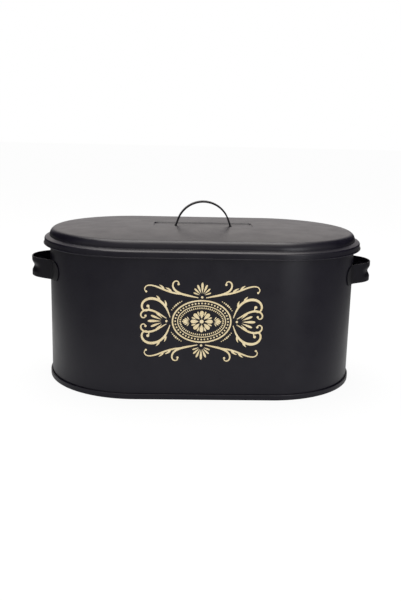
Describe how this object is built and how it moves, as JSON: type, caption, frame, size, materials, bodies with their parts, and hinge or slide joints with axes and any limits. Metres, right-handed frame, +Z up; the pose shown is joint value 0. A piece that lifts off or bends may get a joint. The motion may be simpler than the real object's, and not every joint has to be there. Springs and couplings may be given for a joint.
{
  "type": "bread box",
  "caption": "Oval painted-steel bread box with a lift-off lid, a strap handle on the lid and a pressed strap handle at each end.",
  "frame": {"origin": "middle of the base at table level", "axes": "+X along the box's length, +Y from the front to the back, +Z up"},
  "size_m": [0.3822, 0.2102, 0.1979],
  "materials": {
    "black_paint": "satin powder coat",
    "handle_paint": "satin powder coat",
    "gold_print": "matt gold print on the front of the wall"
  },
  "bodies": {
    "bin": {"body_wall": "black_paint", "base_panel": "black_paint", "side_handle_right": "handle_paint", "side_handle_left": "handle_paint"},
    "lid": {"lid_panel": "black_paint", "lid_handle": "handle_paint"}
  },
  "joints": [
    {"name": "lid_lift", "type": "slide", "parent": "bin", "child": "lid", "axis": [0, 0, 1], "range_m": [0, 0.16]}
  ]
}
